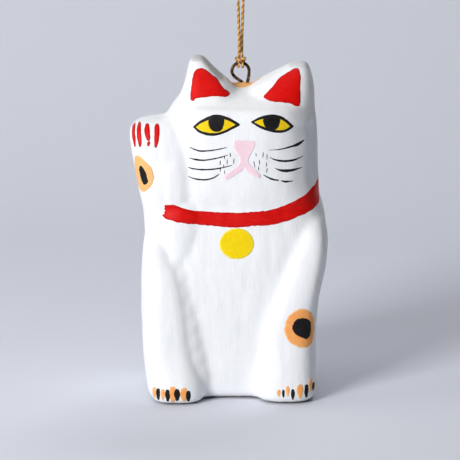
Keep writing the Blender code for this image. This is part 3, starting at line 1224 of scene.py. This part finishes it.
@dataclass(frozen=True)
class TopView:
    """Paints on what shows from above: across is x and up is y."""

    def rays(self, flat: np.ndarray) -> tuple[np.ndarray, np.ndarray]:
        """Start points and directions for flat points."""
        starts = np.column_stack((flat, np.full(len(flat), 120.0)))
        return starts, np.tile((0.0, 0.0, -1.0), (len(flat), 1))


@dataclass(frozen=True)
class RoundTheNeck:
    """Paints round an upright axis: across is the arc from the front towards +X, and up is z."""

    centre: Point2 = (3.0, 0.0)
    radius: float = 17.0

    def rays(self, flat: np.ndarray) -> tuple[np.ndarray, np.ndarray]:
        """Start points and directions for flat points."""
        turn = flat[:, 0] / self.radius
        outward = np.column_stack((np.sin(turn), -np.cos(turn), np.zeros(len(flat))))
        starts = np.array((*self.centre, 0.0)) + 60 * outward
        starts[:, 2] = flat[:, 1]
        return starts, -outward


View = SideView | TopView | RoundTheNeck
FRONT = SideView()


def oval(centre: Point2, radii: Point2) -> np.ndarray:
    """Outline of an oval."""
    t = np.linspace(0, math.tau, 48, endpoint=False)
    return np.column_stack((centre[0] + radii[0] * np.cos(t), centre[1] + radii[1] * np.sin(t)))


def patch(*points: Point2) -> np.ndarray:
    """Outline of a soft-cornered patch through some points."""
    return smooth_through(points, 6, closed=True)


def lens(upper: Sequence[Point2], lower: Sequence[Point2]) -> np.ndarray:
    """Outline between two lines that share their ends, both given from left to right."""
    return np.vstack((smooth_through(upper, 8)[:-1], smooth_through(lower, 8)[:0:-1]))


def stroke(*points: Point3, cap: float = 1.0) -> np.ndarray:
    """Outline of a brush stroke.

    Args:
        *points: Across, up and width of places on its middle line.
        cap: How far its ends bulge, where 1 is round.

    Returns:
        The outline.
    """
    line = smooth_through(points, 7)
    middle, half = line[:, :2], np.maximum(line[:, 2], 0.06) / 2
    ahead = np.gradient(middle, axis=0)
    ahead /= np.linalg.norm(ahead, axis=1)[:, None]
    side = np.column_stack((-ahead[:, 1], ahead[:, 0]))
    turns = np.linspace(0, math.pi, 7)[1:-1, None]
    caps = [
        middle[end] + half[end] * sign * (cap * np.sin(turns) * ahead[end] - np.cos(turns) * side[end])
        for end, sign in ((-1, 1), (0, -1))
    ]
    right, left = middle - side * half[:, None], middle + side * half[:, None]
    return np.vstack((right, caps[0], left[::-1], caps[1]))


def evened(outline: np.ndarray, spacing: float) -> np.ndarray:
    """The same closed outline with points at an even spacing."""
    closed = np.vstack((outline, outline[:1]))
    travelled = np.concatenate(((0,), np.cumsum(np.linalg.norm(np.diff(closed, axis=0), axis=1))))
    count = max(8, round(travelled[-1] / spacing))
    wanted = np.linspace(0, travelled[-1], count, endpoint=False)
    return np.column_stack([np.interp(wanted, travelled, closed[:, k]) for k in (0, 1)])


def rim_distance(points: np.ndarray, outline: np.ndarray) -> np.ndarray:
    """How far each point is from the outline."""
    nearest = np.full(len(points), np.inf)
    for a, b in zip(outline, np.roll(outline, -1, axis=0)):
        along = b - a
        t = np.clip((points - a) @ along / max(along @ along, 1e-12), 0, 1)[:, None]
        nearest = np.minimum(nearest, np.linalg.norm(points - (a + t * along), axis=1))
    return nearest


def is_within(points: np.ndarray, outline: np.ndarray) -> np.ndarray:
    """Which points lie inside the outline."""
    inside = np.zeros(len(points), bool)
    for a, b in zip(outline, np.roll(outline, -1, axis=0)):
        crosses = (a[1] > points[:, 1]) != (b[1] > points[:, 1])
        rise = b[1] - a[1] if b[1] != a[1] else 1.0
        at = a[0] + (points[:, 1] - a[1]) * (b[0] - a[0]) / rise
        inside ^= crosses & (points[:, 0] < at)
    return inside


@dataclass
class Film:
    """Thin closed films of one colour, laid on the block together as one piece."""

    name: str
    colour: BrushedColour
    thickness: float = 0.05
    edge: float = 0.28
    root: float = 0.16
    lip: float = 0.012
    wobble: float = 0.05
    seed: float = 0.0

    def __post_init__(self) -> None:
        """Starts with no shapes."""
        self.points: list[np.ndarray] = []
        self.aims: list[np.ndarray] = []
        self.lifts: list[np.ndarray] = []
        self.insides: list[np.ndarray] = []
        self.faces: list[tuple[int, ...]] = []

    def shaky(self, outline: np.ndarray, ragged: "Ragged | None") -> np.ndarray:
        """The outline as an unsteady hand leaves it."""
        ahead = np.roll(outline, -1, axis=0) - np.roll(outline, 1, axis=0)
        side = np.column_stack((ahead[:, 1], -ahead[:, 0]))
        side /= np.maximum(np.linalg.norm(side, axis=1), 1e-9)[:, None]
        shift = np.array(
            [
                self.wobble * noise.noise(Vector((u * 0.9, v * 0.9, self.seed)))
                + self.wobble * 0.5 * noise.noise(Vector((u * 2.6, v * 2.6, self.seed + 5)))
                for u, v in outline
            ]
        )
        if ragged:
            shift = shift + np.array([ragged.shift(u, v) for u, v in outline])
        return outline + side * shift[:, None]

    def add(
        self,
        outline: np.ndarray,
        view: View = FRONT,
        step: float = 0.26,
        layer: int = 0,
        ragged: "Ragged | None" = None,
    ) -> None:
        """Adds one closed film.

        Args:
            outline: Its outline as seen in the view.
            view: From where it is painted.
            step: Size of its mesh.
            layer: How many other films lie under it.
            ragged: Where its edge breaks up.
        """
        rim = self.shaky(evened(outline, step * 0.6), ragged)
        low, high = rim.min(axis=0), rim.max(axis=0)
        rows = np.arange(low[1], high[1], step * 0.87)
        columns = np.arange(low[0], high[0] + step, step)
        grid = np.array([(u + (k % 2) * step / 2, v) for k, v in enumerate(rows) for u in columns])
        if len(grid):
            grid = grid[is_within(grid, rim)]
            grid = grid[rim_distance(grid, rim) > step * 0.45]
        loops = [(i, (i + 1) % len(rim)) for i in range(len(rim))]
        spots = [Vector(p) for p in (*rim, *grid)]
        flat, _, faces, *_ = delaunay_2d_cdt(spots, loops, [], 1, 1e-6)
        flat = np.array([tuple(p) for p in flat])
        self.closed(flat, [tuple(face) for face in faces], rim, view, layer)

    def closed(
        self, flat: np.ndarray, faces: list[tuple[int, ...]], rim: np.ndarray, view: View, layer: int
    ) -> None:
        """Stores a film's top, its hidden underside and the wall between them."""
        away = rim_distance(flat, rim)
        share = np.clip(away / self.edge, 0, 1)
        height = self.thickness * (1 - (1 - share) ** 2) + layer * self.thickness * 0.8
        starts, aims = view.rays(flat)
        first = sum(len(p) for p in self.points)
        under = first + len(flat)
        self.points += [starts, starts]
        self.aims += [aims, aims]
        self.lifts += [height + self.lip, np.full(len(flat), -self.root)]
        self.insides += [away, away]
        borders: dict[tuple[int, int], None] = {}
        for face in faces:
            self.faces.append(tuple(first + i for i in face))
            self.faces.append(tuple(under + i for i in reversed(face)))
            for a, b in zip(face, (*face[1:], face[0])):
                if (b, a) in borders:
                    del borders[(b, a)]
                else:
                    borders[(a, b)] = None
        for a, b in borders:
            self.faces.append((first + b, first + a, under + a, under + b))

    def lay(self, drape: Recipe, block: bpy.types.Object) -> None:
        """Lays the films on the block and rides them on the cat's body."""
        mesh = bpy.data.meshes.new(self.name)
        mesh.from_pydata((np.vstack(self.points) * MM).tolist(), [], self.faces)
        aim = mesh.attributes.new("aim", "FLOAT_VECTOR", "POINT")
        aim.data.foreach_set("vector", np.vstack(self.aims).astype(np.float32).ravel())
        note(mesh, "lift", np.concatenate(self.lifts) * MM)
        note(mesh, "inside", np.concatenate(self.insides))
        values = {"Block": block, "Finish": self.colour.material()}
        placed(drape.run(linked("flat_shapes", mesh), self.name, values), Body.CAT)


@dataclass(frozen=True)
class Ragged:
    """A stretch of an edge where the brush ran dry, from full at one place to none at another."""

    full: float
    none: float
    depth: float
    tooth: float = 0.3
    seed: float = 3.0

    def shift(self, across: float, up: float) -> float:
        """How far the edge moves at a place."""
        share = (across - self.none) / (self.full - self.none)
        if share <= 0:
            return 0.0
        fine = noise.noise(Vector((across * 0.8, up / self.tooth, self.seed)))
        coarse = noise.noise(Vector((across / 1.2, up / (2.5 * self.tooth), self.seed + 9)))
        return min(share, 1.0) * self.depth * (fine + 0.6 * coarse)


@dataclass
class FacePaint:
    """Eyes, nose, mouth and whiskers."""

    whiskers: tuple[tuple[Point3, ...], ...] = (
        ((-8.9, 60.9, 0.14), (-7.8, 60.4, 0.26), (-6.3, 60.1, 0.34), (-3.2, 60.4, 0.22), (-0.5, 61.0, 0.10)),
        ((-9.0, 58.4, 0.14), (-7.6, 58.1, 0.36), (-5.6, 58.0, 0.30), (-2.8, 58.5, 0.24), (-0.3, 59.2, 0.12)),
        ((-9.3, 56.2, 0.12), (-7.9, 55.9, 0.30), (-5.4, 55.8, 0.30), (-2.4, 56.1, 0.28), (0.6, 56.8, 0.12)),
        ((-9.3, 54.1, 0.12), (-7.9, 53.6, 0.26), (-5.6, 53.4, 0.34), (-3.6, 53.9, 0.26), (-2.2, 54.8, 0.12)),
        ((9.2, 60.3, 0.08), (11.6, 60.4, 0.20), (14.0, 60.8, 0.34), (15.8, 61.2, 0.70), (17.2, 61.9, 0.30)),
        ((9.4, 58.6, 0.08), (10.6, 58.0, 0.30), (12.6, 57.6, 0.46), (15.0, 57.7, 0.40), (17.0, 58.3, 0.10)),
        ((10.6, 56.0, 0.10), (11.9, 55.5, 0.46), (13.4, 55.3, 0.66), (15.0, 55.4, 0.50), (16.8, 55.7, 0.10)),
        ((7.9, 54.6, 0.10), (8.9, 54.0, 0.28), (10.0, 53.5, 0.40), (11.3, 53.2, 0.30)),
        ((12.0, 53.1, 0.16), (12.9, 52.8, 0.46), (14.6, 52.8, 0.14)),
    )
    dashes: tuple[Point3, ...] = (
        (0.3, 59.2, 0.9), (-1.0, 58.7, 0.8), (-2.0, 57.4, 1.0), (-0.4, 57.6, 1.3), (1.1, 57.8, 1.2),
        (-1.2, 56.6, 0.7), (-2.0, 55.9, 1.0), (-1.0, 55.2, 0.9), (6.2, 59.3, 0.8), (7.8, 59.2, 1.3),
        (8.7, 58.7, 1.2), (5.8, 57.1, 1.4), (7.0, 57.4, 1.2), (8.6, 57.0, 1.0), (6.8, 56.1, 0.8),
        (8.7, 55.6, 1.0),
    )  # fmt: skip
    pupils: tuple[tuple[Point2, ...], ...] = (
        (
            (-4.5, 67.8), (-2.9, 68.2), (-1.2, 67.8), (-1.1, 66.5), (-1.6, 65.1), (-2.8, 64.6), (-4.1, 65.1),
            (-4.7, 66.5),
        ),
        (
            (7.9, 67.7), (9.8, 68.1), (11.6, 67.6), (11.6, 66.5), (11.1, 65.4), (9.9, 64.9), (8.6, 65.4),
            (7.9, 66.5),
        ),
    )  # fmt: skip
    nose: tuple[Point2, ...] = (
        (1.2, 62.5), (3.5, 62.7), (5.8, 62.5), (5.9, 61.2), (5.3, 59.8), (4.5, 58.2), (4.5, 56.8),
        (3.45, 56.2), (2.4, 56.8), (2.4, 58.2), (1.6, 59.8), (1.0, 61.2),
    )  # fmt: skip
    mouth: tuple[tuple[Point3, ...], ...] = (
        ((3.1, 57.0, 1.6), (2.2, 56.0, 1.7), (0.8, 55.0, 1.6), (-0.5, 54.1, 1.3)),
        ((3.8, 57.0, 1.6), (4.7, 56.0, 1.7), (5.8, 55.1, 1.6), (6.7, 54.4, 1.2)),
    )
    # Each eye's upper and lower line, and how wide its lines are at their points.
    eyes: tuple[tuple[tuple[Point2, ...], tuple[Point2, ...]], ...] = (
        (
            ((-8.0, 65.6), (-6.2, 67.0), (-3.2, 68.2), (-0.4, 67.7), (2.2, 66.3)),
            ((-8.0, 65.6), (-6.4, 64.5), (-4.0, 64.0), (-1.4, 64.5), (2.2, 66.3)),
        ),
        (
            ((5.3, 66.9), (7.2, 67.8), (9.8, 68.2), (12.2, 67.6), (14.5, 65.6)),
            ((5.3, 66.9), (7.6, 65.6), (10.6, 64.7), (12.8, 64.7), (14.5, 65.6)),
        ),
    )
    lid_widths: tuple[tuple[float, ...], tuple[float, ...]] = (
        (0.44, 0.62, 0.74, 0.68, 0.60),
        (0.44, 0.64, 0.66, 0.60, 0.60),
    )

    def build(self, drape: Recipe, block: bpy.types.Object) -> None:
        """Lays the face's films."""
        irises = Film("eye_irises", IRIS_YELLOW, thickness=0.03, edge=0.4, wobble=0.03, seed=1.0)
        for eye in self.eyes:
            irises.add(lens(*eye), step=0.2)
        irises.lay(drape, block)
        lines = Film("eye_lines_and_pupils", BLACK, thickness=0.035, edge=0.3, wobble=0.05, seed=2.0)
        for eye in self.eyes:
            for line, widths in zip(eye, self.lid_widths):
                lines.add(stroke(*((u, v, w) for (u, v), w in zip(line, widths))), step=0.16, layer=1)
        for pupil in self.pupils:
            lines.add(patch(*pupil), step=0.2, layer=1)
        lines.lay(drape, block)
        nose = Film("nose_and_mouth", PINK, thickness=0.03, edge=0.5, wobble=0.09, seed=3.0)
        nose.add(patch(*self.nose))
        for half in self.mouth:
            nose.add(stroke(*half))
        nose.lay(drape, block)
        hairs = Film("whiskers", BLACK, thickness=0.025, edge=0.15, wobble=0.05, seed=4.0)
        for whisker in self.whiskers:
            hairs.add(stroke(*((u, v, 0.04 + width) for u, v, width in whisker)), step=0.14)
        for u, v, length in self.dashes:
            lean, half = 0.15 * length * noise.noise(Vector((u * 3, v * 3, 0.5))), length / 2
            hairs.add(stroke((u - lean, v + half, 0.12), (u, v, 0.22), (u + lean, v - half, 0.1)), step=0.12)
        hairs.lay(drape, block)


@dataclass
class EarPaint:
    """The red linings of both ears."""

    by_raised_paw: tuple[Point2, ...] = (
        (-7.3, 78.0), (-6.2, 78.2), (-5.2, 77.8), (-4.0, 76.8), (-2.8, 76.0), (-1.3, 74.0), (0.2, 72.6),
        (-0.8, 72.0), (-3.0, 72.2), (-7.2, 71.8), (-8.0, 71.2), (-8.8, 71.4), (-8.8, 73.0), (-8.5, 75.6),
        (-8.1, 77.2),
    )  # fmt: skip
    far: tuple[Point2, ...] = (
        (15.4, 78.1), (16.2, 77.8), (16.5, 76.4), (16.4, 73.8), (16.4, 70.4), (15.6, 69.9), (13.5, 70.7),
        (10.0, 71.1), (8.3, 71.6), (8.0, 72.3), (9.8, 74.0), (10.8, 75.3), (12.1, 76.4), (13.7, 77.4),
    )  # fmt: skip

    def build(self, drape: Recipe, block: bpy.types.Object) -> None:
        """Lays both linings."""
        linings = Film("ear_linings", RED, thickness=0.06, wobble=0.10, seed=6.0)
        linings.add(patch(*self.by_raised_paw))
        linings.add(patch(*self.far))
        linings.lay(drape, block)


@dataclass
class CollarAndBell:
    """A red band round the neck and the bell that hangs on it."""

    band: tuple[Point3, ...] = (
        (-15.6, 45.75, 3.0), (-14.9, 45.65, 3.2), (-14.0, 45.3, 3.2), (-12.4, 44.65, 3.05), (-8.1, 44.1, 3.2),
        (-1.9, 43.8, 3.45), (3.0, 44.1, 3.3), (7.8, 44.4, 3.5), (11.0, 45.2, 3.6), (14.9, 46.8, 3.9),
        (19.1, 48.5, 4.3), (22.5, 49.7, 4.1), (27.5, 51.0, 3.9), (36.0, 51.4, 3.7), (53.0, 51.0, 3.5),
        (64.0, 50.4, 3.3), (69.5, 50.0, 2.8),
    )  # fmt: skip
    bell_centre: Point2 = (1.8, 38.3)
    bell_radii: Point2 = (4.0, 3.65)

    def build(self, drape: Recipe, block: bpy.types.Object) -> None:
        """Lays the bell, then the band over its upper edge."""
        bell = Film("painted_bell", YELLOW, thickness=0.06, wobble=0.10, seed=7.0)
        bell.add(oval(self.bell_centre, self.bell_radii))
        bell.lay(drape, block)
        band = Film("collar_band", COLLAR_RED, thickness=0.06, wobble=0.16, seed=8.0)
        band.add(
            stroke(*self.band, cap=0.25),
            RoundTheNeck(),
            step=0.32,
            ragged=Ragged(full=-16.4, none=-13.0, depth=0.55, tooth=0.22),
        )
        band.lay(drape, block)


@dataclass
class ClawPaint:
    """Claws on the raised paw, and the toes of both standing paws."""

    raised: tuple[tuple[Point3, ...], ...] = (
        ((-21.9, 65.3, 0.7), (-22.0, 64.0, 0.8), (-21.8, 62.2, 0.8), (-21.6, 60.8, 0.4)),
        ((-20.6, 65.5, 0.8), (-20.7, 64.2, 1.1), (-20.5, 62.3, 1.0), (-20.4, 61.0, 0.5)),
        ((-18.8, 65.4, 1.0), (-18.8, 64.5, 1.3), (-18.6, 63.2, 1.1), (-18.5, 62.6, 0.8)),
        ((-18.4, 61.8, 0.8), (-18.5, 61.3, 0.6)),
        ((-16.5, 65.4, 1.1), (-16.5, 64.4, 1.25), (-16.6, 62.6, 1.1), (-16.8, 61.0, 0.6)),
    )
    # Across, top, bottom and width of each toe's mark.
    orange_toes: tuple[tuple[float, float, float, float], ...] = (
        (-17.4, 4.5, 1.5, 1.0), (-15.4, 4.3, 1.5, 1.1), (-13.1, 5.0, 0.9, 1.8), (-10.5, 4.7, 1.0, 1.8),
        (11.6, 3.9, 2.1, 0.9), (13.7, 4.8, 2.1, 0.9), (16.6, 5.2, 1.6, 1.6), (19.1, 5.9, 2.8, 1.0),
    )  # fmt: skip
    black_toes: tuple[tuple[float, float, float, float], ...] = (
        (-16.5, 4.3, 1.3, 0.95), (-14.3, 4.2, 1.1, 1.1), (-12.1, 4.4, 1.3, 1.5), (-9.5, 3.9, 1.0, 1.2),
        (12.7, 3.8, 1.9, 0.6), (14.9, 4.0, 1.3, 0.9), (18.1, 4.8, 1.6, 1.0), (19.8, 4.7, 2.7, 0.6),
    )  # fmt: skip

    def build(self, drape: Recipe, block: bpy.types.Object) -> None:
        """Lays the red claws, then the orange and the black toes."""
        claws = Film("raised_paw_claws", RED, thickness=0.06, edge=0.3, wobble=0.08, seed=9.0)
        for claw in self.raised:
            claws.add(stroke(*claw), step=0.2)
        claws.lay(drape, block)
        for name, colour, toes, layer in (
            ("orange_toes", DEEP_ORANGE, self.orange_toes, 0),
            ("black_toes", BLACK, self.black_toes, 1),
        ):
            film = Film(name, colour, thickness=0.05, edge=0.25, wobble=0.10, seed=10.0 + layer)
            for u, top, bottom, width in toes:
                film.add(
                    stroke(
                        (u, top - width / 2, width * 0.85),
                        (u, (top + bottom) / 2, width),
                        (u, bottom + width * 0.3, width * 0.55),
                    ),
                    step=0.2,
                    layer=layer,
                )
            film.lay(drape, block)


@dataclass
class CalicoSpots:
    """Orange spots with black hearts on the elbow and the leg, and an orange patch round the eye."""

    elbow_view: SideView = SideView(-45.0)
    elbow: tuple[Point2, ...] = (
        (-5.8, 58.8), (-3.9, 57.7), (-2.6, 55.8), (-2.2, 53.8), (-2.9, 51.8), (-4.6, 50.3), (-6.8, 50.3),
        (-8.4, 52.0), (-8.7, 55.0), (-7.6, 57.8),
    )  # fmt: skip
    elbow_heart: tuple[Point2, ...] = (
        (-5.3, 56.4), (-4.4, 55.9), (-3.6, 54.2), (-3.4, 52.7), (-4.2, 52.0), (-5.1, 52.3), (-5.8, 53.8),
        (-6.0, 55.5),
    )  # fmt: skip
    leg: tuple[Point2, ...] = (
        (12.9, 18.2), (13.5, 20.8), (15.4, 22.6), (17.4, 22.9), (19.2, 21.7), (19.9, 19.2), (19.9, 15.8),
        (19.3, 14.0), (17.2, 13.5), (14.8, 14.4), (13.4, 16.0),
    )  # fmt: skip
    leg_heart: tuple[Point2, ...] = (
        (14.7, 18.4), (15.2, 20.1), (16.8, 20.8), (18.6, 20.1), (19.2, 18.2), (19.0, 16.6), (18.1, 15.5),
        (16.5, 16.2), (15.2, 17.1),
    )  # fmt: skip
    crown_centre: Point2 = (3.1, 0.4)
    crown_radii: Point2 = (4.2, 3.7)

    def build(self, drape: Recipe, block: bpy.types.Object) -> None:
        """Lays the orange spots and then their hearts."""
        spots = Film("orange_spots", ORANGE, thickness=0.05, wobble=0.16, seed=12.0)
        spots.add(patch(*self.elbow), self.elbow_view)
        spots.add(
            oval(self.crown_centre, self.crown_radii),
            TopView(),
            ragged=Ragged(full=6.4, none=3.4, depth=0.9, tooth=0.5),
        )
        spots.lay(drape, block)
        knee = Film("orange_leg_spot", DEEP_ORANGE, thickness=0.05, wobble=0.16, seed=14.0)
        knee.add(patch(*self.leg))
        knee.lay(drape, block)
        hearts = Film("black_spot_hearts", BLACK, thickness=0.05, wobble=0.14, seed=13.0)
        hearts.add(patch(*self.elbow_heart), self.elbow_view, layer=1)
        hearts.add(patch(*self.leg_heart), layer=1)
        hearts.lay(drape, block)


def main() -> None:
    """Builds the studio, the cord, the screw eye, the carving and its colours, in that order."""
    logging.basicConfig(level=logging.INFO, format="%(name)s %(message)s", stream=sys.stdout)
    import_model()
    Studio().build()
    twist = twist_recipe()
    eye = ScrewEye()
    HangingCord(eye).build(twist)
    eye.build(twist)
    block = CarvedCat().build()
    drape = drape_recipe()
    for colours in (FacePaint(), EarPaint(), CollarAndBell(), ClawPaint(), CalicoSpots()):
        colours.build(drape, block)


if __name__ == "__main__":
    main()
